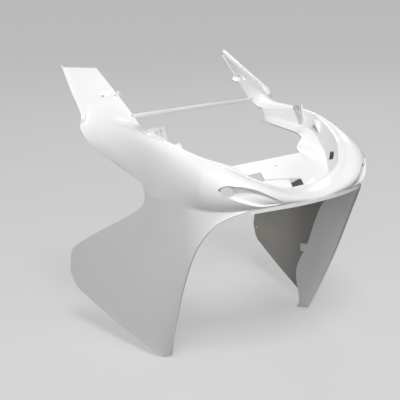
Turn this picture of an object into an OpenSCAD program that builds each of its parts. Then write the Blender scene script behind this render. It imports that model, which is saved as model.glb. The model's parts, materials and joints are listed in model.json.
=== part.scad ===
// Half fairing of a motorcycle, moulded in one piece: a nose band with a wheel arch below it,
// two side panels, two upper arms that carry the screen, and a dash tray inside the rim.
// Units are millimetres. X runs across, the nose points along -Y, Z is up.

/* [Fairing] */
// Width across the two side panels
fairing_w = 580; // [520:1:660]
// Length from the nose to the tips of the upper arms
fairing_l = 620; // [560:1:680]
// Height from the feet of the side panels to the tips of the upper arms
fairing_h = 620; // [560:1:680]
// Wall thickness of the moulding
skin_t = 3; // [2.5:0.1:3.5]

/* [Side panels] */
// Half width of the panels beside the arch, at the height of the nose
side_w = 255; // [245:1:265]
// How far the panels draw in from the nose down to their feet
side_tuck = 18; // [10:1:25]
// How much more the front corner of each foot draws in
toe_tuck = 27; // [15:1:35]
// Widest part of the flange that returns behind the front edge
flange_w = 80; // [60:1:90]

/* [Rim and tray] */
// Width of the flat rim that the screen sits beside
rim_w = 9; // [7:0.5:12]
// Step from the rim down to the shoulder
seat_step = 3; // [2:0.25:4]
// Height of the lip under the nose and along the arms
lip_h = 9; // [6:0.5:12]

/* [Turn signal recess] */
// Depth at the lamp's end
signal_d = 22; // [14:1:24]
// Width of the hole for the lamp holder
lamp_hole_w = 26; // [20:1:28]
// Width of the cable window in the wall behind the recess
window_w = 20; // [16:1:24]
// Height of that window
window_h = 24; // [18:1:28]

/* [Lugs and screw holes] */
// Length of each lug that the frame bracket bolts to
lug_l = 44; // [38:1:50]
// Height of each lug above the foot of the wall
lug_h = 44; // [38:1:50]
// Bolt hole in each lug
lug_bore_d = 8; // [6:0.5:9]
// Width of the slot beside the bolt hole
slot_w = 6; // [5:0.5:8]
// Height of that slot
slot_h = 16; // [12:0.5:18]
// Screw holes in the side panels and the arms
screw_d = 6; // [5:0.5:7]
// Depth of the screw recess in each arm
dimple_d = 4; // [3:0.5:5]
// Width of that recess
dimple_w = 30; // [26:1:34]

/* [Brace and tabs] */
// Depth of the brace between the arms
brace_w = 18; // [14:1:22]
// Height of its front flange
brace_h = 9; // [7:0.5:12]
// Length of the tabs on the arms, the tray and the flange
tab_l = 20; // [16:1:24]
// How far those tabs stand out
tab_out = 13; // [10:1:16]
// Wall of the brace, lugs, ribs and tabs
rib_t = 3; // [2.5:0.1:3.5]

/* [Hidden] */
half_w = fairing_w / 2;
// Columns of the skin's grid, closer together across the turn signal recess
col_stations = [0, 0.5, 1, for (t = [1.5:0.125:4.25]) t, 4.625, for (t = [5:0.5:16]) t];

// Stations along the band, from the middle of the nose to the tip of an arm.
// The fold along the bottom of the band: nose, arch corner, waist, shoulder, outer edge of the arm
fold_shares = [
  [0, -0.402, 0.613], [0.207, -0.397, 0.613], [0.414, -0.374, 0.611], [0.538, -0.344, 0.605],
  [0.662, -0.290, 0.598], [0.752, -0.234, 0.598], [0.807, -0.174, 0.602], [0.848, -0.097, 0.608],
  [0.876, -0.024, 0.614], [0.886, 0.018, 0.620], [0.893, 0.036, 0.652], [0.924, 0.139, 0.689],
  [0.969, 0.277, 0.742], [0.986, 0.352, 0.802], [0.955, 0.358, 0.845], [0.900, 0.468, 0.915],
  [0.828, 0.592, 0.996]];
// The rim at the top of the band, then the inner edge of the arm
rim_shares = [
  [0, -0.321, 0.635], [0.179, -0.319, 0.644], [0.355, -0.311, 0.676], [0.448, -0.279, 0.700],
  [0.534, -0.235, 0.729], [0.600, -0.189, 0.745], [0.655, -0.142, 0.758], [0.703, -0.084, 0.777],
  [0.731, -0.032, 0.792], [0.736, 0.008, 0.798], [0.734, 0.045, 0.802], [0.700, 0.129, 0.805],
  [0.617, 0.218, 0.802], [0.597, 0.266, 0.824], [0.600, 0.306, 0.855], [0.624, 0.387, 0.919],
  [0.652, 0.484, 0.994]];
// The foot of the wall under the rim
foot_shares = [
  [0, -0.316, 0.637], [0.172, -0.306, 0.640], [0.328, -0.284, 0.650], [0.407, -0.245, 0.665],
  [0.483, -0.203, 0.681], [0.545, -0.161, 0.697], [0.593, -0.121, 0.710], [0.648, -0.073, 0.729],
  [0.679, -0.029, 0.744], [0.692, 0.008, 0.750], [0.693, 0.045, 0.755], [0.672, 0.121, 0.763],
  [0.614, 0.202, 0.774]];
// The inner edge of the tray, around the instrument opening
tray_shares = [
  [0, -0.140, 0.698], [0.155, -0.140, 0.698], [0.303, -0.140, 0.698], [0.345, -0.129, 0.698],
  [0.379, -0.100, 0.706], [0.448, -0.077, 0.718], [0.514, -0.058, 0.727], [0.545, -0.024, 0.739],
  [0.562, 0.016, 0.741], [0.574, 0.040, 0.742], [0.581, 0.073, 0.744], [0.592, 0.137, 0.748],
  [0.603, 0.195, 0.753]];
// How much of the rim and its step each station has, and how flat its section is
seat_shares = [0, 0.4, 1, 1, 1, 1, 1, 1, 1, 1, 1, 0.5, 0, 0, 0, 0, 0];
arm_lip_shares = [0, 0.1, 0.4, 0.8];
flat_shares = [0.3, 0.2, 0, 0, 0, 0, 0, 0, 0, 0, 0, 0, 0.1, 0.5, 1, 1, 1];
bulge_shares = [0, 0.3, 0.6, 0.8, 0.9, 0.75, 0.4, 0.15, 0, 0, 0, 0, 0, 0, 0, 0, 0];
crown_shares = [0, 0.1, 0.2, 0.3, 0.4, 0.4, 0.4, 0.4, 0.4, 0.4, 0.5, 0.9, 1.2, 0.9, 0, 0, 0];

// The side panel in length and height: front edge, rear edge and bottom edge
front_shares = [[-0.344, 0.605], [-0.276, 0.558], [-0.218, 0.481], [-0.174, 0.395],
  [-0.129, 0.290], [-0.077, 0.169], [-0.019, 0.035], [0, 0]];
rear_shares = [[0.018, 0.620], [0.026, 0.584], [0.065, 0.548], [0.161, 0.492],
  [0.290, 0.423], [0.400, 0.360], [0.465, 0.308], [0.487, 0.223]];
bottom_shares = [[0, 0], [0.029, -0.010], [0.058, 0.013], [0.121, 0.036], [0.218, 0.068],
  [0.315, 0.103], [0.403, 0.139], [0.458, 0.166], [0.487, 0.223]];
// Width of the front flange down the panel, as a share of its widest part
flange_shares = [0.12, 0.5, 0.9, 0.97, 0.95, 0.95, 0.42, 0.36];
flange_run_share = [-0.55, 0.83, 0];

top_hold_share = 0.75;
low_hold_share = 0.65;
crown_h = 45;
bulge_w = 40;
arch_station = 3;
waist_station = 9;
tray_station = 12;
lip_station = 13;
last_station = len(fold_shares) - 1;

tray_rows = 2;
wall_rows = 1;
seat_rows = 2;
upper_rows = 4;
lower_rows = 2;
return_rows = 1;
panel_rows = 12;

// The turn signal recess across the band, as shares of the way from the rim to the fold at a
// row of stations: its upper edge, its lower edge and its depth
recess_stations = [1.5, 4.25];
recess_top_shares = [0.90, 0.755, 0.655, 0.59, 0.55, 0.53, 0.525, 0.53, 0.545, 0.565, 0.595, 0.665];
recess_low_shares = [0.92, 0.965, 0.97, 0.965, 0.945, 0.92, 0.89, 0.855, 0.82, 0.785, 0.745, 0.675];
recess_deep_shares = [0, 0.12, 0.22, 0.32, 0.42, 0.52, 0.62, 0.72, 0.82, 0.92, 1, 0];
// The rows between its edges and how deep each lies
recess_row_shares = [0, 0.13, 0.38, 0.62, 0.87, 1];
recess_row_deep_shares = [0, 0.85, 1, 1, 0.85, 0];
plain_edge_shares = [0.4, 0.8];
band_rows = upper_rows + len(recess_row_shares) - 1 + lower_rows;

function col_of(t) = [for (i = [0:len(col_stations) - 1]) if (abs(col_stations[i] - t) < 0.01) i][0];
cols = len(col_stations) - 1;
arch_col = col_of(arch_station);
waist_col = col_of(waist_station);
tray_col = col_of(tray_station);
lip_col = col_of(lip_station);
foot_row = tray_rows;
rim_row = foot_row + wall_rows;
seat_row = rim_row + seat_rows;
fold_row = seat_row + band_rows;
return_row = fold_row + return_rows;
bottom_row = fold_row + panel_rows;

function place(s) = [s.x * half_w, s.y * fairing_l, s.z * fairing_h];
function mix(a, b, t) = a + (b - a) * t;
function clamp(v, low, high) = max(low, min(high, v));
function unit(v) = v / max(norm(v), 1e-9);

// The way out of the turn signal recess
signal_azimuth = -56;
signal_lean = 14;
signal_roll = 9;
signal_z = [cos(signal_azimuth) * cos(signal_lean), sin(signal_azimuth) * cos(signal_lean),
  sin(signal_lean)];

// A smooth curve through hand-picked points
function spline(p0, p1, p2, p3, t) =
  (2 * p1 + (p2 - p0) * t + (2 * p0 - 5 * p1 + 4 * p2 - p3) * t ^ 2
    + (3 * p1 - p0 - 3 * p2 + p3) * t ^ 3) / 2;
function run(list, t, before) =
  let (k = min(floor(t), len(list) - 2), last = len(list) - 1)
  spline(k == 0 ? before : list[k - 1], list[k], list[k + 1],
    k + 2 > last ? 2 * list[last] - list[last - 1] : list[k + 2], t - k);
function line(list, t) = run(list, t * (len(list) - 1), 2 * list[0] - list[1]);

// A station line is mirrored across the middle of the nose
function mirrored(s) = [-s.x, s.y, s.z];
function station(list, t) = place(run(list, t, mirrored(list[1])));
function amount(list, t) =
  let (k = min(floor(t), len(list) - 2)) mix(list[k], list[k + 1], t - k);

// Half width of the side panels at a place in length and height
nose_y = fold_shares[0].y * fairing_l;
round_y_share = 0.40;
spread_share = 0.161;
tuck_from_share = 0.34;
function side_x(y, z) =
  let (
    waist_z = fold_shares[waist_station].z * fairing_h,
    into = clamp((y - round_y_share * nose_y) / (nose_y * (1 - round_y_share)), 0, 0.999),
    barrel = side_w - side_tuck * abs(z - waist_z) / waist_z + spread_share * y
  ) barrel * (1 - into ^ 2) ^ 0.45;

// The skin on the half with x over zero. t is the station and row counts from the tray outwards
function tray_point(t, row) = mix(station(tray_shares, t), station(foot_shares, t), row / tray_rows);
function wall_point(t, row) =
  mix(station(foot_shares, t), station(rim_shares, t), (row - foot_row) / wall_rows);
function outward(t) =
  let (v = station(fold_shares, t) - station(rim_shares, t)) unit([v.x, v.y, 0]);
function seat_point(t, row) =
  let (
    s = amount(seat_shares, t),
    k = row - rim_row,
    wide = rim_w * (k == 1 ? 0.7 : 1),
    down = k == 1 ? 0 : seat_step
  ) station(rim_shares, t) + s * (wide * outward(t) - [0, 0, down]);

// Edges of the recess at a station; beyond its ends they spread to the rows of the plain band
function recess_at(list, t, plain) =
  let (
    into = (clamp(t, recess_stations[0], recess_stations[1]) - recess_stations[0])
      / (recess_stations[1] - recess_stations[0]),
    edge = line(list, into),
    away = max(recess_stations[0] - t, t - recess_stations[1], 0)
  ) mix(edge, plain, min(away, 1));
function row_share(t, row) =
  let (
    j = row - seat_row,
    inner = len(recess_row_shares) - 1,
    top = recess_at(recess_top_shares, t, plain_edge_shares[0]),
    low = recess_at(recess_low_shares, t, plain_edge_shares[1])
  )
  j <= upper_rows ? top * j / upper_rows
  : j <= upper_rows + inner ? mix(top, low, recess_row_shares[j - upper_rows])
  : mix(low, 1, (j - upper_rows - inner) / lower_rows);
function recess_depth(t, row) =
  let (
    j = row - seat_row - upper_rows,
    into = (t - recess_stations[0]) / (recess_stations[1] - recess_stations[0])
  )
  j < 0 || j >= len(recess_row_shares) || into < 0 || into > 1 ? 0
  : signal_d * recess_row_deep_shares[j] * amount(recess_deep_shares, into * (len(recess_deep_shares) - 1));
function band_point(t, row) = band_at(t, row_share(t, row)) - recess_depth(t, row) * signal_z;

// The band from its rim, k = 0, to its fold, k = 1
function band_at(t, k) =
  let (
    top = seat_point(t, seat_row),
    low = station(fold_shares, t),
    gap = low - top,
    flat = amount(flat_shares, t),
    crown = [0, 0, crown_h * amount(crown_shares, t)],
    bulge = bulge_w * amount(bulge_shares, t) * outward(t),
    a = top + mix([gap.x, gap.y, 0] * top_hold_share + crown, gap / 3, flat),
    b = low + mix([0, 0, -gap.z] * low_hold_share + bulge, -gap / 3, flat)
  ) top * (1 - k) ^ 3 + 3 * a * k * (1 - k) ^ 2 + 3 * b * k ^ 2 * (1 - k) + low * k ^ 3;

// The side panel, filled in between its four edges
function front_yz(v) = line(front_shares, v);
function edge_yz(u, v) =
  let (
    top_u = station(fold_shares, mix(arch_station, waist_station, u)),
    top = [top_u.y / fairing_l, top_u.z / fairing_h],
    low = line(bottom_shares, u),
    corners = mix(mix(front_shares[0], rear_shares[0], u), mix(bottom_shares[0],
      bottom_shares[len(bottom_shares) - 1], u), v)
  ) mix(top, low, v) + mix(front_yz(v), line(rear_shares, v), u) - corners;
function panel_point(t, row) =
  let (
    u = (t - arch_station) / (waist_station - arch_station),
    v = (row - fold_row) / panel_rows,
    s = edge_yz(u, v),
    y = s.x * fairing_l,
    z = s.y * fairing_h,
    top = station(fold_shares, t),
    blend = (1 - v) ^ 3 * (top.x - side_x(top.y, top.z)),
    low = max(0, 1 - s.y / tuck_from_share),
    toe = toe_tuck * low ^ 1.7 * (1 - u) ^ 5
  ) [side_x(y, z) + blend - toe, y, z];

// The return under the nose, the flange behind the front edge and the corner that joins them
function nose_lip(t, k) = station(fold_shares, t) - [0, 0, lip_h * k];
function flange_point(row, k) =
  let (v = (row - fold_row) / panel_rows)
  panel_point(arch_station, row) + flange_w * line(flange_shares, v) * k * flange_run_share;
function arm_lip(t, k) =
  let (
    along = station(fold_shares, min(t + 0.2, last_station)) - station(fold_shares, t - 0.2),
    across = station(fold_shares, t) - station(rim_shares, t),
    down = lip_h * k * amount(arm_lip_shares, t - lip_station)
  ) station(fold_shares, t) + down * unit(cross(across, along));
function return_point(i, row) =
  let (
    t = col_stations[i],
    down = (row - fold_row) / return_rows,
    back = (arch_col - i) / return_rows
  )
  i > arch_col ? arm_lip(t, down)
  : i < arch_col - return_rows || row <= return_row ? nose_lip(t, down)
  : row > return_row ? flange_point(row, back)
  : nose_lip(t, down);

function half_point(i, row) =
  let (t = col_stations[i])
  row < foot_row ? tray_point(t, row)
  : row <= rim_row ? wall_point(t, row)
  : row <= seat_row ? seat_point(t, row)
  : row <= fold_row ? band_point(t, row)
  : i >= arch_col && i <= waist_col ? panel_point(t, row)
  : return_point(i, row);

// Which cells of the skin exist on a half; i and row are the lower corner of the cell
function half_kept(i, row) =
  i < 0 || i >= cols || row < 0 || row >= bottom_row ? false
  : row < rim_row ? i < tray_col
  : row < fold_row ? true
  : i < arch_col ? (row < return_row || i >= arch_col - return_rows)
  : i < waist_col ? true
  : i >= lip_col && row < return_row;

function full_kept(i, row) = half_kept(i >= 0 ? i : -i - 1, row);
grid = [for (i = [-cols:cols]) [for (row = [0:bottom_row])
  let (m = abs(i), p = vertex_kept(m, row) ? half_point(m, row) : half_point(m, fold_row))
  i < 0 ? mirrored(p) : p]];
function vertex_kept(i, row) =
  half_kept(i, row) || half_kept(i - 1, row) || half_kept(i, row - 1) || half_kept(i - 1, row - 1);
function at(i, row) = grid[i + cols][row];
function cell_normal(i, row) =
  full_kept(i, row)
  ? unit(cross(at(i + 1, row + 1) - at(i, row), at(i + 1, row) - at(i, row + 1)))
  : [0, 0, 0];
function normal(i, row) =
  unit(cell_normal(i, row) + cell_normal(i - 1, row)
    + cell_normal(i, row - 1) + cell_normal(i - 1, row - 1));
normals = [for (i = [-cols:cols]) [for (row = [0:bottom_row]) normal(i, row)]];

skin_points = [for (depth = [0, skin_t]) each [for (i = [-cols:cols]) each [for (row = [0:bottom_row])
  at(i, row) - normals[i + cols][row] * depth]]];
skin_y = [for (p = skin_points) p.y];
skin_z = [for (p = skin_points) p.z];
to_frame = [0, -(min(skin_y) + max(skin_y)) / 2, -min(skin_z)];

rows_n = bottom_row + 1;
function vertex(i, row, side) = side * rows_n * (2 * cols + 1) + (i + cols) * rows_n + row;
function quad(a, b, c, d) = [[a, b, c], [a, c, d]];

// The skin: its outside, its inside and the edges between them
module skin() {
  function top(i, row) = vertex(i, row, 0);
  function low(i, row) = vertex(i, row, 1);
  faces = [for (i = [-cols:cols - 1]) for (row = [0:bottom_row - 1]) if (full_kept(i, row))
    each concat(
      quad(top(i, row), top(i + 1, row), top(i + 1, row + 1), top(i, row + 1)),
      quad(low(i, row + 1), low(i + 1, row + 1), low(i + 1, row), low(i, row)),
      full_kept(i, row - 1) ? [] : quad(low(i, row), low(i + 1, row), top(i + 1, row), top(i, row)),
      full_kept(i, row + 1) ? []
        : quad(top(i, row + 1), top(i + 1, row + 1), low(i + 1, row + 1), low(i, row + 1)),
      full_kept(i - 1, row) ? [] : quad(top(i, row), top(i, row + 1), low(i, row + 1), low(i, row)),
      full_kept(i + 1, row) ? []
        : quad(low(i + 1, row), low(i + 1, row + 1), top(i + 1, row + 1), top(i + 1, row)))];
  polyhedron(skin_points, faces, convexity = 10);
}

module both_sides() {
  children();
  mirror([1, 0, 0]) children();
}

// Stands a flat outline upright at a point of the left side. azimuth is where its face looks,
// lean tips the face upwards and roll turns the outline in its own plane
module facing(point, azimuth, lean, roll) {
  translate(point) rotate([0, 0, azimuth + 90]) rotate([90 - lean, 0, 0]) rotate([0, 0, roll]) children();
}

// Hole for the lamp holder at the deep end of the recess
lamp_station = 3.98;
lamp_row_share = 0.675;
lamp_high_share = 0.78;
lamp_run_share = 2.4;
module lamp_hole() {
  facing(band_at(lamp_station, lamp_row_share), signal_azimuth, signal_lean, signal_roll)
    scale([1, lamp_high_share, 1])
    translate([0, 0, -2 * signal_d]) cylinder(d = lamp_hole_w, h = lamp_run_share * signal_d, $fn = 48);
}

// Lug with a bolt hole and a slot, standing on the wall under the rim
lug_point = place([0.738, 0.092, 0.750]);
lug_azimuth = 162;
lug_rise_share = 0.18;
lug_foot_share = 0.4;
lug_hole_share = [0.56, 0.82];
lug_slot_share = [0.84, 0.86];
module lug() {
  facing(lug_point, lug_azimuth, 0, 0) linear_extrude(rib_t) difference() {
    polygon([[-rib_t, 0], [0, lug_h], [lug_l, lug_h * (1 + lug_rise_share)],
      [lug_l * (1 + lug_foot_share / 2), lug_h / 2], [lug_l * (1 - lug_foot_share / 2), 0]]);
    translate([lug_l * lug_hole_share.x, lug_h * lug_hole_share.y]) circle(d = lug_bore_d, $fn = 48);
    translate([lug_l * lug_slot_share.x, lug_h * lug_slot_share.y]) square([slot_w, slot_h], center = true);
  }
}

// A flat plate with straight edges, its thickness behind the face that the corners go round
module plate(corners, thick) {
  n = len(corners);
  back = unit(cross(corners[1] - corners[0], corners[2] - corners[0])) * thick;
  sides = [for (i = [0:n - 1]) each quad(i, n + i, n + (i + 1) % n, (i + 1) % n)];
  polyhedron(concat(corners, [for (c = corners) c + back]),
    concat([[for (i = [0:n - 1]) i], [for (i = [n - 1:-1:0]) n + i]], sides));
}

// Gusset across the wall in front of the lug, where the seat of the instruments ends
gusset_shares = [[0.660, -0.050, 0.788], [0.722, -0.053, 0.784], [0.655, -0.097, 0.728]];
module gusset() {
  plate([for (q = gusset_shares) place(q)], rib_t);
}

// Cuts through the tray beside the nose: two notches, the slit between them and a screw hole
left_notch_shares = [[-0.330, -0.206], [-0.186, -0.203], [-0.228, -0.248],
  [-0.276, -0.256], [-0.320, -0.250]];
right_notch_shares = [[-0.034, -0.266], [0.070, -0.275], [0.035, -0.302], [-0.077, -0.302]];
slit_shares = [[-0.240, -0.246], [-0.124, -0.254], [-0.024, -0.264], [-0.024, -0.270],
  [-0.124, -0.260], [-0.240, -0.252]];
tray_hole_share = [-0.003, -0.187];
tray_low_share = 0.59;
tray_high_share = 0.71;
module tray_cuts() {
  low = tray_low_share * fairing_h;
  translate([0, 0, low]) linear_extrude(tray_high_share * fairing_h - low) {
    for (outline = [left_notch_shares, right_notch_shares, slit_shares])
      polygon([for (q = outline) [q.x * half_w, q.y * fairing_l]]);
    translate([tray_hole_share.x * half_w, tray_hole_share.y * fairing_l]) circle(d = screw_d, $fn = 32);
  }
}

// Window for the cable of the turn signal, in the wall ahead of the gusset
window_point = place([0.473, -0.231, 0.692]);
window_azimuth = 157;
window_lean = 37;
window_corner_shares = [[-0.95, 0.23], [0, 0.49], [1.02, -0.19], [0, -0.52]];
module wall_window() {
  facing(window_point, window_azimuth, window_lean, 0)
    translate([0, 0, -3 * skin_t]) linear_extrude(6 * skin_t)
    polygon([for (q = window_corner_shares) [q.x * window_w, q.y * window_h]]);
}

// Stands a shape on an arm: X from its inner to its outer edge, Z out of its face
module on_arm(t, k) {
  inner = station(rim_shares, t);
  x = unit(station(fold_shares, t) - inner);
  along = station(rim_shares, t + 0.3) - station(rim_shares, t - 0.3);
  z = unit(cross(x, along));
  y = cross(z, x);
  o = mix(inner, station(fold_shares, t), k);
  multmatrix([[x.x, y.x, z.x, o.x], [x.y, y.y, z.y, o.y], [x.z, y.z, z.z, o.z]]) children();
}
dimple_station = 14.8;
dimple_place_share = 0.34;
tab_station = 14.72;
module dimple_outline(grow) {
  r = dimple_w * 0.3;
  hull() {
    circle(r = r + grow, $fn = 40);
    translate([-dimple_w * 0.4, 0]) square(2 * (r * 0.7 + grow), center = true);
  }
}
module dimple_cut() {
  on_arm(dimple_station, dimple_place_share) translate([0, 0, -2 * skin_t]) linear_extrude(4 * skin_t)
    dimple_outline(0);
}
module dimple_cup() {
  on_arm(dimple_station, dimple_place_share) translate([0, 0, -dimple_d - skin_t / 3]) difference() {
    translate([0, 0, -skin_t / 2]) linear_extrude(dimple_d + skin_t / 2) dimple_outline(skin_t / 2);
    linear_extrude(2 * dimple_d) dimple_outline(-skin_t / 8);
    cylinder(d = screw_d, h = 4 * skin_t, center = true, $fn = 32);
  }
}

// T-shaped tab on the inner edge of an arm, for the screen
module arm_tab() {
  on_arm(tab_station, 0) translate([-tab_out, 0, -skin_t]) {
    translate([0, -tab_l / 6, 0]) cube([tab_out + skin_t, tab_l / 3, rib_t]);
    translate([0, -tab_l / 2, 0]) cube([tab_out / 3, tab_l, rib_t]);
  }
}

// Tab at the rear end of the tray
tray_tab_point = place([0.592, 0.190, 0.747]);
module tray_tab() {
  translate(tray_tab_point) cube([tab_l * 0.4, tab_out, rib_t]);
}

// Clip tab on the free edge of the front flange
clip_place_share = 0.593;
module flange_tab() {
  p = flange_point(fold_row + clip_place_share * panel_rows, 1);
  d = unit(flange_run_share);
  translate(p) rotate([0, 0, atan2(d.y, d.x)])
    translate([-skin_t, 0, -tab_l / 2]) cube([tab_out + skin_t, rib_t, tab_l]);
}

// Brace between the arms, an angle section
brace_place = place([0, 0.285, 0.840]);
brace_span_share = 0.615;
module brace() {
  span = brace_span_share * half_w;
  translate([-span, brace_place.y, brace_place.z]) rotate([90, 0, 90]) linear_extrude(2 * span)
    polygon([[-brace_w / 2, 0], [brace_w / 2, 0], [brace_w / 2, -rib_t],
      [-brace_w / 2 + rib_t, -rib_t], [-brace_w / 2 + rib_t, -brace_h], [-brace_w / 2, -brace_h]]);
}

// Screw holes through the side panels, placed in length and height
screw_shares = [[0.460, 0.211], [0.089, 0.039]];
module screw_holes() {
  for (q = screw_shares)
    let (y = q.x * fairing_l, z = q.y * fairing_h)
    translate([side_x(y, z), y, z]) rotate([0, 90, 0])
      cylinder(d = screw_d, h = 20 * skin_t, center = true, $fn = 32);
}

module fairing_cowl() {
  color("white") translate(to_frame) union() {
    difference() {
      skin();
      both_sides() {
        lamp_hole();
        screw_holes();
        wall_window();
        dimple_cut();
      }
      tray_cuts();
    }
    both_sides() {
      lug();
      gusset();
      dimple_cup();
      arm_tab();
      tray_tab();
      flange_tab();
    }
    brace();
  }
}

fairing_cowl();
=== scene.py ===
"""Looks of a moulded motorcycle half fairing: the skin, the turn signal recesses, the lugs and the brace.

Everything is in metres. X runs across, the nose points along -Y and Z is up. The pieces are worked out in the
moulding's own axes, and TO_FRAME carries them and the camera into the frame's.
"""
import json
import math

import bmesh
import bpy
import numpy as np
from mathutils import Matrix, Vector

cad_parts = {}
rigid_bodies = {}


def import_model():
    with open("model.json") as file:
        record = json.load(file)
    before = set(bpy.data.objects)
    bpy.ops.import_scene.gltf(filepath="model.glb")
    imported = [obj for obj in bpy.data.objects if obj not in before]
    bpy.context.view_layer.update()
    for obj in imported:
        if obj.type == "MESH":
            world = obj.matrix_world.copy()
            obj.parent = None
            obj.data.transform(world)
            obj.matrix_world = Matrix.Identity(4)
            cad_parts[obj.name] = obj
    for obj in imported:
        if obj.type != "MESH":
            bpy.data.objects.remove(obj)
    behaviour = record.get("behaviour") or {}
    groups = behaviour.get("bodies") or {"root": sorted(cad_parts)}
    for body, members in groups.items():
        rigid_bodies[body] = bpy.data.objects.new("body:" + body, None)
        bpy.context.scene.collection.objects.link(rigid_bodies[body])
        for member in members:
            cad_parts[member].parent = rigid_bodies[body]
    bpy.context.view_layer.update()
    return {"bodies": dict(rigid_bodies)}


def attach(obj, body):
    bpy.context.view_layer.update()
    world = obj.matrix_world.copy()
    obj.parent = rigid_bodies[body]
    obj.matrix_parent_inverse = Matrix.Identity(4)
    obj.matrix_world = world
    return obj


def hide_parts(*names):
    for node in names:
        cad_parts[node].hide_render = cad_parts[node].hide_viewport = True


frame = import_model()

COWL = "fairing_cowl"
BODY = next(iter(frame["bodies"]))
TO_FRAME = 0, -0.0597705, 0.00641

# Driving sizes of the moulding
WIDTH, LENGTH, HEIGHT = 0.580, 0.620, 0.620
SKIN = 0.003
SIDE_W, SIDE_TUCK, TOE_TUCK = 0.255, 0.018, 0.027
FLANGE_W = 0.080
RIM_W, SEAT_STEP, LIP_H = 0.009, 0.003, 0.009
CROWN_H, BULGE_W = 0.045, 0.040
SIGNAL_D, LAMP_HOLE = 0.022, 0.026
WINDOW_W, WINDOW_H = 0.020, 0.024
LUG_L, LUG_H, LUG_BORE, SLOT_W, SLOT_H = 0.044, 0.044, 0.008, 0.006, 0.016
SCREW, DIMPLE_D, DIMPLE_W = 0.006, 0.0032, 0.030
BRACE_W, BRACE_H, RIB = 0.018, 0.009, 0.003
TAB_L, TAB_OUT = 0.020, 0.013
SCALE = np.array([WIDTH / 2, LENGTH, HEIGHT])

# The lines of the moulding, as shares of half the width, the length and the height. The first four
# have a point at each station, from the middle of the nose along the band and up the arm.
FOLD_SHARES = np.array([
    [0, -0.402, 0.613], [0.207, -0.397, 0.613], [0.414, -0.374, 0.611], [0.538, -0.344, 0.605],
    [0.662, -0.290, 0.598], [0.752, -0.234, 0.598], [0.807, -0.174, 0.602], [0.848, -0.097, 0.608],
    [0.876, -0.024, 0.614], [0.886, 0.018, 0.620], [0.893, 0.036, 0.652], [0.924, 0.139, 0.689],
    [0.969, 0.277, 0.742], [0.986, 0.352, 0.802], [0.955, 0.358, 0.845], [0.900, 0.468, 0.915],
    [0.828, 0.592, 0.996]])
RIM_SHARES = np.array([
    [0, -0.321, 0.635], [0.179, -0.319, 0.644], [0.355, -0.311, 0.676], [0.448, -0.279, 0.700],
    [0.534, -0.235, 0.729], [0.600, -0.189, 0.745], [0.655, -0.142, 0.758], [0.703, -0.084, 0.777],
    [0.731, -0.032, 0.792], [0.736, 0.008, 0.798], [0.734, 0.045, 0.802], [0.700, 0.129, 0.805],
    [0.617, 0.218, 0.802], [0.597, 0.266, 0.824], [0.600, 0.306, 0.855], [0.624, 0.387, 0.919],
    [0.652, 0.484, 0.994]])
FOOT_SHARES = np.array([
    [0, -0.316, 0.637], [0.172, -0.306, 0.640], [0.328, -0.284, 0.650], [0.407, -0.245, 0.665],
    [0.483, -0.203, 0.681], [0.545, -0.161, 0.697], [0.593, -0.121, 0.710], [0.648, -0.073, 0.729],
    [0.679, -0.029, 0.744], [0.692, 0.008, 0.750], [0.693, 0.045, 0.755], [0.672, 0.121, 0.763],
    [0.614, 0.202, 0.774]])
TRAY_SHARES = np.array([
    [0, -0.140, 0.698], [0.155, -0.140, 0.698], [0.303, -0.140, 0.698], [0.345, -0.129, 0.698],
    [0.379, -0.100, 0.706], [0.448, -0.077, 0.718], [0.514, -0.058, 0.727], [0.545, -0.024, 0.739],
    [0.562, 0.016, 0.741], [0.574, 0.040, 0.742], [0.581, 0.073, 0.744], [0.592, 0.137, 0.748],
    [0.603, 0.195, 0.753]])
FRONT_SHARES = np.array([[-0.344, 0.605], [-0.276, 0.558], [-0.218, 0.481], [-0.174, 0.395],
                         [-0.129, 0.290], [-0.077, 0.169], [-0.019, 0.035], [0, 0]])
REAR_SHARES = np.array([[0.018, 0.620], [0.026, 0.584], [0.065, 0.548], [0.161, 0.492],
                        [0.290, 0.423], [0.400, 0.360], [0.465, 0.308], [0.487, 0.223]])
BOTTOM_SHARES = np.array([[0, 0], [0.029, -0.010], [0.058, 0.013], [0.121, 0.036], [0.218, 0.068],
                          [0.315, 0.103], [0.403, 0.139], [0.458, 0.166], [0.487, 0.223]])
# Stations of the arch's top, the waist, the tray's end, the foot of the arm's lip and the arm's tip
ARCH, WAIST, TRAY_END, LIP, LAST = 3, 9, 12, 13, 16

# How much of the seat, of a flat run, of the bulge, of the crown and of the lip there is at each station
SEAT_SHARES = np.array([0, 0.4, 1, 1, 1, 1, 1, 1, 1, 1, 1, 0.5, 0, 0, 0, 0, 0])
FLAT_SHARES = np.array([0.3, 0.2, 0, 0, 0, 0, 0, 0, 0, 0, 0, 0, 0.1, 0.5, 1, 1, 1])
BULGE_SHARES = np.array([0, 0.3, 0.6, 0.8, 0.9, 0.75, 0.4, 0.15, 0, 0, 0, 0, 0, 0, 0, 0, 0])
CROWN_SHARES = np.array([0, 0.1, 0.2, 0.3, 0.4, 0.4, 0.4, 0.4, 0.4, 0.4, 0.45, 0.7, 0.85, 0.1, 0, 0, 0])
ARM_LIP_SHARES = np.array([0, 0.1, 0.4, 0.8])
TOP_HOLD, LOW_HOLD = 0.75, 0.65  # how far the band holds its way from its top and from the fold
SEAT_MID = 0.7                   # where the seat's middle line runs between the rim and the seat's foot

# The side panel: its spread to the rear, its rounding into the nose, its toe's tuck, and the flange behind it
SPREAD, ROUND_Y, ROUND_POWER, ROUND_END = 0.1608, 0.40, 0.45, 0.999
TUCK_FROM, TUCK_RISE, TUCK_FADE = 0.34, 1.7, 5
FLANGE_SHARES = np.array([0.12, 0.5, 0.9, 0.97, 0.95, 0.95, 0.42, 0.36])
FLANGE_RUN = np.array([-0.55, 0.83, 0])

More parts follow.
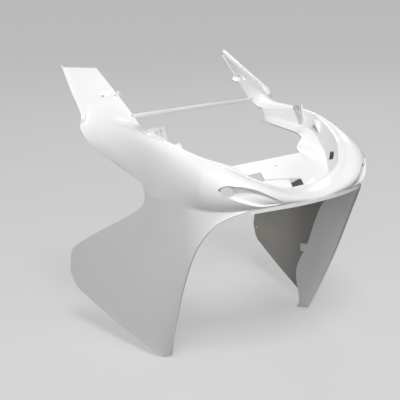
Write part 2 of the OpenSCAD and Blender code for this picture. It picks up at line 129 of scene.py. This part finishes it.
# The turn signal recess: its stations and blunt end, then its two edges across the band and its depth, from its
# tip to the lamp, its wall as a share of its broadest width, and the rows of the plain band that it eases to
RECESS_FROM, RECESS_TO, RECESS_END = 1.5, 4.25, 0.42
RECESS_TOP = np.array([0.90, 0.755, 0.655, 0.59, 0.55, 0.53, 0.525, 0.53, 0.545, 0.565, 0.59, 0.615])
RECESS_LOW = np.array([0.92, 0.965, 0.97, 0.965, 0.945, 0.92, 0.89, 0.855, 0.82, 0.785, 0.755, 0.735])
RECESS_DEEP = np.array([0, 0.12, 0.22, 0.32, 0.42, 0.52, 0.62, 0.72, 0.82, 0.92, 1, 1])
RECESS_WALL, RECESS_BROAD = 0.13, 0.38
PLAIN_TOP, PLAIN_LOW = 0.4, 0.8
OUT_AZIMUTH, OUT_LEAN, OUT_ROLL = -56, 14, 9
LAMP_AT = 3.87, 0.682  # station, and share of the way across the band
LAMP_FLAT = 0.78

# The screw recess in an arm: its station and share, its run, its flat middle and its side as shares of its width
DIMPLE_AT = 14.8, 0.34
DIMPLE_RUN, DIMPLE_FLAT, DIMPLE_SIDE = 0.45, 0.11, 0.25

# The band's evening out: from and to which station, how often, and how fast it dies away to its edges and ends
EASE_FROM, EASE_TO, EASE_TIMES, EASE_POWER, EASE_FADE = 5.2, 14.5, 140, 1.2, 0.6
ARM_EDGE_ROOM = 0.35

# The grids: runs of columns as from, to and number, and the number of rows of each sheet
COLUMNS = ((0, LAST, 8 * LAST), (RECESS_FROM, RECESS_TO, 110), (3.9, RECESS_TO, 28), (14.4, 15.25, 34))
ABOVE_ROWS, RECESS_ROWS, BELOW_ROWS = 15, 28, 10
TRAY_ROWS, WALL_ROWS, PANEL_ROWS, NOSE_ROWS, FLANGE_ROWS, LIP_ROWS = 8, 6, 58, 2, 10, 1
MERGE = 2e-5
SKIN_CREASE, PIECE_CREASE, EDGE_ANGLE = 32, 40, 50
FINE_EDGE, EDGE, SOFT_EDGE, EDGE_STEPS = 0.0005, 0.0006, 0.0008, 2

# What is cut through the skin: both notches and the slit in one outline, screw holes and the cable window
NOTCH_SHARES = np.array([
    [-0.350, -0.206], [-0.186, -0.203], [-0.226, -0.2455], [-0.124, -0.254], [-0.036, -0.2645], [0.070, -0.275],
    [0.024, -0.314], [-0.087, -0.314], [-0.042, -0.2725], [-0.124, -0.2595], [-0.232, -0.251], [-0.276, -0.256],
    [-0.34, -0.25]])
TRAY_SCREW_SHARES = np.array([-0.003, -0.187])
TRAY_LEVELS = 0.59 * HEIGHT, 0.71 * HEIGHT
PANEL_SCREW_SHARES = np.array([[0.460, 0.211], [0.089, 0.039]])
PANEL_REACH = 0.03
WINDOW_SHARES = np.array([[-0.95, 0.23], [0, 0.49], [1.02, -0.19], [0, -0.52]])

# What is joined to the skin
LUG_OUTLINE = [[-RIB, 0], [0, LUG_H], [LUG_L, LUG_H * 1.18], [LUG_L * 1.2, LUG_H / 2], [LUG_L * 0.8, 0]]
LUG_BORE_AT = LUG_L * 0.56, LUG_H * 0.82
SLOT_AT = LUG_L * 0.84, LUG_H * 0.86
GUSSET_SHARES = np.array([[0.660, -0.050, 0.788], [0.722, -0.053, 0.784], [0.655, -0.097, 0.728]])
TRAY_TAB_SHARES = np.array([0.592, 0.190, 0.747])
TRAY_TAB_W, ARM_TAB_W, BEAD_W = TAB_L * 0.4, TAB_L * 0.3, TAB_L * 0.31
ARM_TAB_AT, ARM_TAB_WAY = (14.77, 0.02), np.array([-0.78, 0.55, 0.26])
FLANGE_TAB_AT = 0.593
BRACE_SHARES, BRACE_SPAN = np.array([0, 0.285, 0.840]), 0.615

# The camera: its place, how it looks in degrees, and its lens for a square frame
CAMERA_AT = -1.19395, -1.44458, 0.84602
HEADING, PITCH, ROLL = 36.617, 15.555, -1.5
SENSOR, FOCAL_PIXELS, FRAME_PIXELS, CLIP_START = 36, 850, 400, 0.05

# The studio: the floor's half width and drop, the world's strength on the object and what the camera sees on
# top of it, and the lamps as name, place, size and power, all aimed at one point
FLOOR_HALF, FLOOR_DROP, FLOOR_GLOW = 60, 0.001, 0.44
WORLD, SEEN_WORLD, WORLD_COLOUR = 0.17, 0.46, (0.95, 0.97, 1, 1)
LAMPS = (("key", (-1.35, -2.35, 4.1), 1.5, 176), ("fill", (-3.7, -3.7, 2.6), 2.0, 58),
         ("rim", (2.6, 2.4, 3.0), 1.6, 18))
LAMP_AIM = 0, 0, 0.35


def unit(v):
    """Vectors of length one: v / |v|."""
    return v / np.maximum(np.linalg.norm(v, axis=-1, keepdims=True), 1e-9)


def eased_step(r):
    """Smooth step r^2 (3 - 2r) of a share r."""
    return r * r * (3 - 2 * r)


def run(points, t, before):
    """Smooth line: (2b + (c-a)s + (2a-5b+4c-d)s^2 + (3b-a-3c+d)s^3) / 2 at a share s between points b and c."""
    points = np.asarray(points, float)
    if points.ndim == 1:
        points = points[:, None]
    line = np.vstack([before, points, 2 * points[-1] - points[-2]])
    t = np.asarray(t, float)
    k = np.clip(np.floor(t).astype(int), 0, len(points) - 2)
    s = (t - k)[..., None]
    a, b, c, d = line[k], line[k + 1], line[k + 2], line[k + 3]
    return (2 * b + (c - a) * s + (2 * a - 5 * b + 4 * c - d) * s ** 2 + (3 * b - a - 3 * c + d) * s ** 3) / 2


def station(shares, t):
    """A guide line at station t, its start mirrored across the middle of the nose."""
    return run(shares, t, shares[1] * [-1, 1, 1]) * SCALE


def along(shares, v):
    """An open line at v from 0 to 1."""
    return run(shares, np.asarray(v) * (len(shares) - 1), 2 * shares[0] - shares[1])


def amount(shares, t):
    """A smooth line through the stations' values that stays between the least and the greatest."""
    return np.clip(run(shares, t, shares[1:2, None]), shares.min(), shares.max())


def outward(t):
    """Level direction from the rim to the fold at station t."""
    v = station(FOLD_SHARES, t) - station(RIM_SHARES, t)
    return unit(v * [1, 1, 0])


def seat_foot(t):
    """Foot of the small step outside the rim: the rim + seat share (rim width outward - step down)."""
    return station(RIM_SHARES, t) + amount(SEAT_SHARES, t) * (RIM_W * outward(t) - [0, 0, SEAT_STEP])


def band_surface(t, k):
    """Band from the seat (k 0) to the fold (k 1): top (1-k)^3 + 3a k (1-k)^2 + 3b k^2 (1-k) + low k^3.

    Its hold a leads level off the seat, its hold b upright into the fold, and both lie straight on the arms.
    """
    top, low = seat_foot(t), station(FOLD_SHARES, t)
    gap, flat = low - top, amount(FLAT_SHARES, t)
    level, upright = gap * [1, 1, 0], gap * [0, 0, 1]
    crown = CROWN_H * amount(CROWN_SHARES, t) * [0, 0, 1]
    bulge = BULGE_W * amount(BULGE_SHARES, t) * outward(t)
    a = top + (1 - flat) * (TOP_HOLD * level + crown) + flat * gap / 3
    b = low + (1 - flat) * (-LOW_HOLD * upright + bulge) - flat * gap / 3
    k = k[..., None]
    return top * (1 - k) ** 3 + 3 * a * k * (1 - k) ** 2 + 3 * b * k ** 2 * (1 - k) + low * k ** 3


def side_x(y, z):
    """Half width of a side panel: (width - tuck |z - waist| / waist + spread y) (1 - into^2)^power.

    The tuck draws it in towards the foot, the spread widens it to the rear, and into runs from 0 to 1 at the nose.
    """
    nose_y, waist_z = FOLD_SHARES[0, 1] * LENGTH, FOLD_SHARES[WAIST, 2] * HEIGHT
    into = np.clip((y - ROUND_Y * nose_y) / (nose_y * (1 - ROUND_Y)), 0, ROUND_END)
    barrel = SIDE_W - SIDE_TUCK * np.abs(z - waist_z) / waist_z + SPREAD * y
    return barrel * (1 - into ** 2) ** ROUND_POWER


def panel_surface(u, v):
    """Side panel between its edges: (1-v) fold + v foot + (1-u) front + u rear - the four corners' own blend.

    That gives length and height. The half width is side_x, fitted to the fold at the top and less the toe's tuck.
    """
    t = ARCH + (WAIST - ARCH) * u
    top = station(FOLD_SHARES, t)
    top_yz = top[..., 1:] / [LENGTH, HEIGHT]
    low_yz = along(BOTTOM_SHARES, u)
    front, rear = along(FRONT_SHARES, v), along(REAR_SHARES, v)
    u1, v1 = u[..., None], v[..., None]
    corners = (1 - v1) * ((1 - u1) * FRONT_SHARES[0] + u1 * REAR_SHARES[0]) \
        + v1 * ((1 - u1) * BOTTOM_SHARES[0] + u1 * BOTTOM_SHARES[-1])
    yz = (1 - v1) * top_yz + v1 * low_yz + (1 - u1) * front + u1 * rear - corners
    y, z = yz[..., 0] * LENGTH, yz[..., 1] * HEIGHT
    blend = (1 - v) ** 3 * (top[..., 0] - side_x(top[..., 1], top[..., 2]))
    toe = TOE_TUCK * np.maximum(0, 1 - yz[..., 1] / TUCK_FROM) ** TUCK_RISE * (1 - u) ** TUCK_FADE
    return np.stack([side_x(y, z) + blend - toe, y, z], axis=-1)


def flange_surface(v, k):
    """Return behind the front edge: edge + k width (share at v) along the flange's run."""
    edge = panel_surface(np.zeros_like(v), v)
    return edge + FLANGE_W * along(FLANGE_SHARES, v) * k[..., None] * FLANGE_RUN


def arm_lip_surface(t, k, step=0.2):
    """Lip that stands on the outer edge of an arm: fold + k lift, square to the arm's width and its run."""
    run_dir = station(FOLD_SHARES, np.minimum(t + step, LAST)) - station(FOLD_SHARES, t - step)
    across = station(FOLD_SHARES, t) - station(RIM_SHARES, t)
    lift = LIP_H * k[..., None] * amount(ARM_LIP_SHARES, t - LIP)
    return station(FOLD_SHARES, t) + lift * unit(np.cross(across, run_dir))


def spread(low, high, n):
    """n + 1 even values."""
    return np.linspace(low, high, n + 1)


def ruled(low, high, n):
    """Grid of n + 1 rows between two lines: (1 - k) low + k high."""
    k = spread(0, 1, n)[:, None, None]
    return (1 - k) * low + k * high


def sheet_faces(rows, cols, start, flip):
    """Quads of a grid of rows by cols points."""
    i, j = np.meshgrid(np.arange(rows - 1), np.arange(cols - 1), indexing="ij")
    a = start + i * cols + j
    quads = np.stack([a, a + 1, a + cols + 1, a + cols], axis=-1).reshape(-1, 4)
    return quads[:, ::-1] if flip else quads


def facing(point, azimuth, lean=0, roll=0):
    """Frame of a face at a point: X along it, Y up in it, Z out of it towards the azimuth, in degrees."""
    turn = Matrix.Rotation(math.radians(azimuth + 90), 3, "Z") @ Matrix.Rotation(math.radians(90 - lean), 3, "X") \
        @ Matrix.Rotation(math.radians(roll), 3, "Z")
    return np.array(point, float), np.array(turn)


def on_arm(t, k, step=0.3):
    """Frame on an arm at a share k of its width: X from its inner to its outer edge, Z out of its face."""
    t = np.array([t])
    inner, outer = station(RIM_SHARES, t)[0], station(FOLD_SHARES, t)[0]
    x = unit(outer - inner)
    up = (station(RIM_SHARES, t + step) - station(RIM_SHARES, t - step))[0]
    z = unit(np.cross(x, up))
    return inner + (outer - inner) * k, np.column_stack([x, np.cross(z, x), z])


def recess_edges(t):
    """Both edges of the recess at station t: mid -+ half sqrt(1 - s^2), with s from 0 to 1 over its blunt end.

    Past the recess they ease to the rows of the plain band.
    """
    into = (np.clip(t, RECESS_FROM, RECESS_TO) - RECESS_FROM) / (RECESS_TO - RECESS_FROM)
    top, low = (along(shares, into)[..., 0] for shares in (RECESS_TOP, RECESS_LOW))
    blunt = np.sqrt(1 - np.clip((t - RECESS_TO + RECESS_END) / RECESS_END, 0, 1) ** 2)
    mid, half = (top + low) / 2, (low - top) / 2 * blunt
    away = np.clip(np.maximum(RECESS_FROM - t, t - RECESS_TO), 0, 1)
    return (1 - away) * (mid - half) + away * PLAIN_TOP, (1 - away) * (mid + half) + away * PLAIN_LOW


def recess_depth(t, s, wide):
    """Depth at a share s of the way across: deep (share at t) smooth(distance to the nearer edge / wall)."""
    into = (t - RECESS_FROM) / (RECESS_TO - RECESS_FROM)
    rise = eased_step(np.clip(np.minimum(s, 1 - s) * wide / (RECESS_WALL * RECESS_BROAD), 0, 1))
    deep = np.interp(np.clip(into, 0, 1), np.linspace(0, 1, len(RECESS_DEEP)), RECESS_DEEP)
    return SIGNAL_D * deep * rise * ((into > 0) & (into < 1))


def screw_dimple(points):
    """Sinks a round-ended recess into an arm: depth (1 - smooth(r)), r the distance past its middle line."""
    point, turn = on_arm(*DIMPLE_AT)
    local = (points - point) @ turn
    past = np.abs(local[..., 0] - np.clip(local[..., 0], -DIMPLE_RUN * DIMPLE_W, 0))
    r = (np.hypot(past, local[..., 1]) - DIMPLE_FLAT * DIMPLE_W) / (DIMPLE_SIDE * DIMPLE_W)
    deep = DIMPLE_D * (1 - eased_step(np.clip(r, 0, 1))) * (np.abs(local[..., 2]) < 4 * SKIN)
    return points - deep[..., None] * turn[:, 2]


def evened(points, t):
    """Moves each column of the band towards the middle of its neighbours, by sin(pi k)^power, again and again."""
    k = spread(0, 1, len(points) - 1)
    ends = np.clip(np.minimum(t - EASE_FROM, EASE_TO - t) / EASE_FADE, 0, 1)
    weight = (np.sin(math.pi * k) ** EASE_POWER)[:, None] * ends[None, :]
    for _ in range(EASE_TIMES):
        near = points.copy()
        near[:, 1:-1] = (points[:, :-2] + points[:, 2:]) / 2
        points = points + weight[..., None] * (near - points)
    return points


def band_patch(t):
    """Grid of the band, its rows drawn to the edges of the recess, which is sunk along its own way out."""
    out = facing((0, 0, 0), OUT_AZIMUTH, OUT_LEAN)[1][:, 2]
    above, inner, below = spread(0, 1, ABOVE_ROWS)[:-1], spread(0, 1, RECESS_ROWS), spread(0, 1, BELOW_ROWS)[1:]
    rows = []
    top, low = recess_edges(t)
    room = ARM_EDGE_ROOM * np.clip(t - TRAY_END, 0, 1)
    for k in above:
        rows.append(band_surface(t, top * k))
    for k in inner:
        sunk = recess_depth(t, np.full_like(t, k), low - top)
        rows.append(band_surface(t, top + (low - top) * k) - sunk[:, None] * out)
    for k in below:
        rows.append(band_surface(t, low + (1 - low) * (k if k == 1 else k * (1 - room))))
    return screw_dimple(evened(np.array(rows), t))


def skin_patches():
    """The sheets of the left half, each as a grid of points with its rows going outwards."""
    t = np.unique(np.round(np.concatenate([spread(*columns) for columns in COLUMNS]), 5))
    t_tray, t_nose, t_panel = t[t <= TRAY_END], t[t <= ARCH], t[(t >= ARCH) & (t <= WAIST)]
    rim, foot = station(RIM_SHARES, t), station(FOOT_SHARES, t_tray)
    tray = ruled(station(TRAY_SHARES, t_tray), foot, TRAY_ROWS)
    wall = ruled(foot, station(RIM_SHARES, t_tray), WALL_ROWS)
    seat = [rim, rim + amount(SEAT_SHARES, t) * SEAT_MID * RIM_W * outward(t), seat_foot(t)]
    nose_lip = [station(FOLD_SHARES, t_nose) - [0, 0, LIP_H * k] for k in spread(0, 1, NOSE_ROWS)]
    v = spread(0, 1, PANEL_ROWS)
    panel_u, panel_v = np.meshgrid((t_panel - ARCH) / (WAIST - ARCH), v)
    flange_k, flange_v = np.meshgrid(spread(1, 0, FLANGE_ROWS), v)
    lip_t, lip_k = np.meshgrid(t[t >= LIP], spread(0, 1, LIP_ROWS))
    return [tray, wall, np.array(seat), band_patch(t), panel_surface(panel_u, panel_v), np.array(nose_lip),
            flange_surface(flange_v, flange_k), arm_lip_surface(lip_t, lip_k)]


def skin_sheet():
    """Points and faces of both halves of the outside, the right half mirrored."""
    verts, faces, start = [], [], 0
    for patch in skin_patches():
        rows, cols = patch.shape[:2]
        flat = patch.reshape(-1, 3)
        for side in (1, -1):
            verts.append(flat * [side, 1, 1])
            faces.append(sheet_faces(rows, cols, start, side > 0))
            start += len(flat)
    return np.vstack(verts), np.vstack(faces).tolist()


def new_object(name, verts, faces, materials=()):
    """An object in the scene, its mesh made of points and faces."""
    mesh = bpy.data.meshes.new(name)
    mesh.from_pydata(verts.tolist(), [], faces)
    for material in materials:
        mesh.materials.append(material)
    return linked(bpy.data.objects.new(name, mesh))


def linked(obj):
    """Puts an object into the scene."""
    bpy.context.scene.collection.objects.link(obj)
    return obj


def bake_modifiers(obj):
    """Puts the modifiers' result into the mesh."""
    graph = bpy.context.evaluated_depsgraph_get()
    mesh = bpy.data.meshes.new_from_object(obj.evaluated_get(graph))
    old = obj.data
    obj.modifiers.clear()
    obj.data = mesh
    bpy.data.meshes.remove(old)


def finish_mesh(obj, crease):
    """Smooth shading, with edges sharper than an angle in degrees kept sharp."""
    mesh = obj.data
    mesh.polygons.foreach_set("use_smooth", np.ones(len(mesh.polygons), bool))
    mesh.set_sharp_from_angle(angle=math.radians(crease))
    mesh.update()


def joined(solids):
    """Points and faces of several closed solids as those of one mesh."""
    verts, faces, start = [], [], 0
    for points, outlines in solids:
        verts.append(points)
        faces += [(np.array(outline) + start).tolist() for outline in outlines]
        start += len(points)
    return np.vstack(verts), faces


def cut(obj, solids):
    """Takes closed solids out of a mesh."""
    tool = new_object("cutter", *joined(solids))
    taken = obj.modifiers.new("cut", "BOOLEAN")
    taken.operation, taken.object, taken.solver = "DIFFERENCE", tool, "MANIFOLD"
    bake_modifiers(obj)
    bpy.data.objects.remove(tool)


def build_skin(materials):
    """The moulded skin: both halves merged, given their wall inwards, then cut."""
    obj = new_object("skin", *skin_sheet(), materials)
    merged = bmesh.new()
    merged.from_mesh(obj.data)
    bmesh.ops.remove_doubles(merged, verts=merged.verts, dist=MERGE)
    merged.to_mesh(obj.data)
    merged.free()
    obj.data.update()
    wall = obj.modifiers.new("wall", "SOLIDIFY")
    wall.thickness, wall.offset, wall.use_even_offset, wall.material_offset = SKIN, -1, False, 1
    bake_modifiers(obj)
    cut(obj, skin_cutters())
    finish_mesh(obj, SKIN_CREASE)
    return obj


def prism(outline, low, high, place, mirror=False):
    """Closed prism: an outline in a frame's X and Y, run along its Z from low to high."""
    point, turn = place
    outline = np.array(outline, float)
    n = len(outline)
    flat = np.vstack([np.column_stack([outline, np.full(n, z)]) for z in (low, high)])
    verts = flat @ turn.T + point
    k = np.arange(n)
    sides = np.column_stack([k, (k + 1) % n, n + (k + 1) % n, n + k]).tolist()
    faces = [list(range(n))[::-1], list(range(n, 2 * n))] + sides
    after = np.roll(outline, -1, axis=0)
    area = np.sum(outline[:, 0] * after[:, 1] - after[:, 0] * outline[:, 1])
    if mirror:
        verts = verts * [-1, 1, 1]
    if (area < 0) != mirror:
        faces = [f[::-1] for f in faces]
    return verts, faces


def round_outline(wide, high=None, n=48, centre=(0, 0)):
    """Ellipse (wide cos a, high sin a) / 2 about a centre."""
    a = np.arange(n) * 2 * math.pi / n
    return np.column_stack([wide / 2 * np.cos(a), (high or wide) / 2 * np.sin(a)]) + centre


def box_outline(x0, x1, y0, y1):
    """Rectangle from x0 to x1 and from y0 to y1."""
    return np.array([[x0, y0], [x1, y0], [x1, y1], [x0, y1]])


UPRIGHT = np.zeros(3), np.eye(3)
WINDOW = facing(np.array([0.473, -0.231, 0.692]) * SCALE, 157, 37)
LUG = facing(np.array([0.738, 0.092, 0.750]) * SCALE, 162)


def skin_cutters():
    """Everything that is cut through the skin: the tray's openings, then each side's window and holes."""
    plan = SCALE[:2]
    holes = [prism(NOTCH_SHARES * plan, *TRAY_LEVELS, UPRIGHT),
             prism(round_outline(SCREW, centre=TRAY_SCREW_SHARES * plan), *TRAY_LEVELS, UPRIGHT)]
    window = WINDOW_SHARES * [WINDOW_W, WINDOW_H]
    lamp = facing(band_surface(*np.array(LAMP_AT)[:, None])[0], OUT_AZIMUTH, OUT_LEAN, OUT_ROLL)
    lamp_hole = round_outline(LAMP_HOLE, LAMP_FLAT * LAMP_HOLE)
    for side in (False, True):
        holes.append(prism(window, -3 * SKIN, 3 * SKIN, WINDOW, side))
        holes.append(prism(lamp_hole, -2 * SIGNAL_D, 0.1 * SIGNAL_D, lamp, side))
        holes.append(prism(round_outline(SCREW, n=32), -4 * SKIN, 4 * SKIN, on_arm(*DIMPLE_AT), side))
        for y, z in PANEL_SCREW_SHARES * SCALE[1:]:
            at = facing((side_x(y, z), y, z), 0)
            holes.append(prism(round_outline(SCREW), -PANEL_REACH, PANEL_REACH, at, side))
    return holes


def piece(name, solids, material, edge, holes=()):
    """One moulded piece from closed solids that overlap, less its holes, with its edges rounded."""
    obj = new_object(name, *joined(solids), [material])
    if holes:
        cut(obj, holes)
    rounded = obj.modifiers.new("edges", "BEVEL")
    rounded.width, rounded.segments = edge, EDGE_STEPS
    rounded.limit_method, rounded.angle_limit = "ANGLE", math.radians(EDGE_ANGLE)
    bake_modifiers(obj)
    finish_mesh(obj, PIECE_CREASE)
    return obj


def build_pieces(white):
    """Lugs, gussets, tabs and the brace."""
    pieces = []
    for side, word in ((False, "left_"), (True, "right_")):
        pieces += [piece(word + "lug", [prism(LUG_OUTLINE, 0, RIB, LUG, side)], white, EDGE, lug_holes(side)),
                   piece(word + "gusset", [gusset(side)], white, FINE_EDGE),
                   piece(word + "arm_tab", arm_tab(side), white, SOFT_EDGE),
                   piece(word + "tray_tab", [tray_tab(side)], white, FINE_EDGE),
                   piece(word + "flange_tab", [flange_tab(side)], white, FINE_EDGE)]
    return pieces + [piece("brace", [brace()], white, EDGE)]


def lug_holes(side):
    """The bolt hole of a lug, and the slot beside it."""
    slot = box_outline(-SLOT_W / 2, SLOT_W / 2, -SLOT_H / 2, SLOT_H / 2) + SLOT_AT
    return [prism(outline, -RIB, 2 * RIB, LUG, side)
            for outline in (round_outline(LUG_BORE, centre=LUG_BORE_AT), slot)]


def gusset(side):
    """Plate between three corners, its thickness behind it."""
    corners = GUSSET_SHARES * SCALE
    back = unit(np.cross(corners[1] - corners[0], corners[2] - corners[0])) * RIB
    verts = np.vstack([corners, corners + back])
    faces = [[2, 1, 0], [3, 4, 5], [0, 1, 4, 3], [1, 2, 5, 4], [2, 0, 3, 5]]
    if side:
        verts, faces = verts * [-1, 1, 1], [f[::-1] for f in faces]
    return verts, faces


def arm_tab(side):
    """Flat tab off the inner edge of an arm, with a bead along its end."""
    point, turn = on_arm(*ARM_TAB_AT)
    way = unit(ARM_TAB_WAY)
    edge = unit(turn[:, 1] - way * (turn[:, 1] @ way))
    face = np.cross(way, edge)
    root = point - SKIN / 2 * turn[:, 2]
    plate = prism(box_outline(-2 * RIB, TAB_OUT, -ARM_TAB_W, ARM_TAB_W), -RIB / 2, RIB / 2,
                  (root, np.column_stack([way, edge, face])), side)
    bead = root + way * TAB_OUT, np.column_stack([np.cross(edge, face), face, edge])
    return [plate, prism(round_outline(RIB * 1.5, n=20), -BEAD_W, BEAD_W, bead, side)]


def tray_tab(side):
    """Small level tab at the rear end of the tray."""
    return prism(box_outline(0, TRAY_TAB_W, 0, TAB_OUT), 0, RIB, (TRAY_TAB_SHARES * SCALE, np.eye(3)), side)


def flange_tab(side):
    """Upright tab that carries the flange's run on past its free edge."""
    root = flange_surface(np.array([FLANGE_TAB_AT]), np.ones(1))[0]
    turn = np.array(Matrix.Rotation(math.atan2(FLANGE_RUN[1], FLANGE_RUN[0]), 3, "Z"))
    return prism(box_outline(-SKIN, TAB_OUT, 0, RIB), -TAB_L / 2, TAB_L / 2, (root, turn), side)


def brace():
    """Angle bar between the arms, its outline in length and height run across."""
    back, front = -BRACE_W / 2, BRACE_W / 2
    outline = [[back, 0], [back, -BRACE_H], [back + RIB, -BRACE_H], [back + RIB, -RIB], [front, -RIB], [front, 0]]
    place = BRACE_SHARES * SCALE, np.array([[0, 0, 1], [1, 0, 0], [0, 1, 0]], float)
    span = BRACE_SPAN * WIDTH / 2
    return prism(outline, -span, span, place)


class Value:
    """A socket of a shader, with the arithmetic that the materials use."""

    def __init__(self, tree, socket):
        self.tree, self.socket = tree, socket

    def _math(self, kind, *values):
        return self.tree.node("ShaderNodeMath", {"operation": kind}, *values)

    def __add__(self, other):
        return self._math("ADD", self, other)

    def __sub__(self, other):
        return self._math("SUBTRACT", self, other)

    def __rsub__(self, other):
        return self._math("SUBTRACT", other, self)

    def __mul__(self, other):
        return self._math("MULTIPLY", self, other)

    __radd__, __rmul__ = __add__, __mul__

    def clamp(self):
        return self._math("MAXIMUM", self._math("MINIMUM", self, 1), 0)


class Tree:
    """The nodes of a material or of the world."""

    def __init__(self, owner):
        owner.use_nodes = True
        self.nodes, self.links = owner.node_tree.nodes, owner.node_tree.links

    def node(self, kind, settings, *values, out=0, **named):
        """Adds a node: its settings first, then its sockets by place or by name. None leaves a socket alone."""
        n = self.nodes.new(kind)
        for key, value in settings.items():
            setattr(n, key, value)
        for key, value in list(enumerate(values)) + list(named.items()):
            self.feed(n.inputs[key], value)
        return Value(self, n.outputs[out])

    def feed(self, socket, value):
        """Links a socket to a value from a node, or sets it to a plain one."""
        if isinstance(value, Value):
            self.links.new(value.socket, socket)
        elif value is not None:
            socket.default_value = value

    def ray(self, kind):
        """1 for one kind of ray and 0 for the others."""
        return self.node("ShaderNodeLightPath", {}, out=kind)


class Finish(Tree):
    """One material."""

    def __init__(self, name):
        self.material = bpy.data.materials.new(name)
        super().__init__(self.material)
        self.shader = self.nodes["Principled BSDF"]

    def set(self, name, value):
        self.feed(self.shader.inputs[name], value)

    def place(self):
        return self.node("ShaderNodeTexCoord", {}, out="Object")

    def noise(self, scale, detail, stretch=None):
        where = self.place()
        if stretch:
            where = self.node("ShaderNodeMapping", {}, where, Scale=stretch)
        return self.node("ShaderNodeTexNoise", {}, Vector=where, Scale=scale, Detail=detail)

    def mix(self, factor, a, b):
        """Colour a turning to colour b, which are the node's sockets 6 and 7, counted from 0."""
        unused = [None] * 5
        return self.node("ShaderNodeMix", {"data_type": "RGBA"}, factor, *unused, a, b, out=2)

    def moulded(self, rough, wander, waves):
        """Roughness that wanders over the surface, and faint waves in it."""
        self.set("Roughness", rough + self.noise(14, 2) * wander)
        self.set("Normal", self.node("ShaderNodeBump", {}, Strength=waves, Distance=0.0004,
                                     Height=self.noise(40, 1)))


def gloss_white():
    """Gloss white outside of the moulding, with faint clouding and waves under a thin coat."""
    f = Finish("gloss_white")
    f.set("Base Color", f.mix(f.noise(6, 3), (0.80, 0.80, 0.79, 1), (0.87, 0.87, 0.865, 1)))
    f.moulded(rough=0.30, wander=0.12, waves=0.03)
    f.set("Coat Weight", 0.3)
    f.set("Coat Roughness", 0.12)
    return f.material


def bare_inside():
    """Unpainted inside of the moulding: warm grey plastic, browned high up by a painted warm reflection, and with
    flow marks low down.
    """
    f = Finish("bare_inside")
    grey = f.mix(f.noise(9, 4), (0.40, 0.39, 0.37, 1), (0.52, 0.505, 0.48, 1))
    height = f.node("ShaderNodeSeparateXYZ", {}, f.place(), out="Z")
    high_up, low_down = ((height - 0.27) * 6).clamp(), (1 - height * 2.2).clamp()
    flow_marks = ((f.noise(24, 1, stretch=(1, 0.08, 1)) - 0.56) * 5).clamp() * low_down
    # painted warm reflection: the grey turns brown higher up, standing in for warm reflected light
    painted_warm_reflection = f.mix(high_up * 0.8, grey, (0.54, 0.40, 0.27, 1))
    f.set("Base Color", f.mix(flow_marks * 0.5, painted_warm_reflection, (0.62, 0.52, 0.40, 1)))
    f.moulded(rough=0.5, wander=0.2, waves=0.05)
    return f.material


def floor_finish():
    """Pale matt floor, seen by the camera and in gloss a little paler than it lights its surroundings."""
    f = Finish("pale_floor")
    f.set("Base Color", f.mix(f.noise(3, 2), (0.22, 0.22, 0.22, 1), (0.245, 0.245, 0.245, 1)))
    f.set("Roughness", 0.8 + f.noise(20, 2) * 0.1)
    seen = (f.ray("Is Camera Ray") + f.ray("Is Glossy Ray")).clamp()
    plain = Value(f, f.shader.outputs[0])
    glow = f.node("ShaderNodeEmission", {}, Color=(1, 1, 1, 1), Strength=FLOOR_GLOW)
    paler = f.node("ShaderNodeAddShader", {}, plain, glow)
    f.feed(f.nodes["Material Output"].inputs["Surface"], f.node("ShaderNodeMixShader", {}, seen, plain, paler))
    return f.material


def stage():
    """Floor, world and lamps."""
    corners = box_outline(-FLOOR_HALF, FLOOR_HALF, -FLOOR_HALF, FLOOR_HALF)
    floor = new_object("floor", np.column_stack([corners, np.zeros(4)]), [(0, 1, 2, 3)], [floor_finish()])
    floor.location.z = -FLOOR_DROP
    world = bpy.data.worlds.new("studio")
    sky = Tree(world)
    background = sky.nodes["Background"].inputs
    sky.feed(background["Color"], WORLD_COLOUR)
    sky.feed(background["Strength"], sky.ray("Is Camera Ray") * SEEN_WORLD + WORLD)
    bpy.context.scene.world = world
    for name, place, size, power in LAMPS:
        lamp = bpy.data.lights.new(name, "AREA")
        lamp.energy, lamp.size = power, size
        obj = bpy.data.objects.new(name, lamp)
        obj.location = place
        obj.rotation_euler = (Vector(LAMP_AIM) - Vector(place)).to_track_quat("-Z", "Y").to_euler()
        linked(obj)
    bpy.context.scene.view_settings.view_transform = "Standard"


def camera():
    """Camera at the photograph's angle: heading, pitch down and roll."""
    data = bpy.data.cameras.new("camera")
    data.sensor_width, data.lens = SENSOR, SENSOR * FOCAL_PIXELS / FRAME_PIXELS
    data.clip_start = CLIP_START
    obj = linked(bpy.data.objects.new("camera", data))
    heading, pitch, roll = map(math.radians, (HEADING, PITCH, ROLL))
    obj.matrix_world = Matrix.Translation(Vector(CAMERA_AT) + Vector(TO_FRAME)) \
        @ Matrix.Rotation(-heading, 4, "Z") @ Matrix.Rotation(math.pi / 2 - pitch, 4, "X") \
        @ Matrix.Rotation(roll, 4, "Z")
    bpy.context.scene.camera = obj


white, inside = gloss_white(), bare_inside()
skin = build_skin([white, inside])
pieces = [skin] + build_pieces(white)
for obj in pieces:
    obj.data.transform(Matrix.Translation(TO_FRAME))
    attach(obj, BODY)
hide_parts(COWL)
stage()
camera()
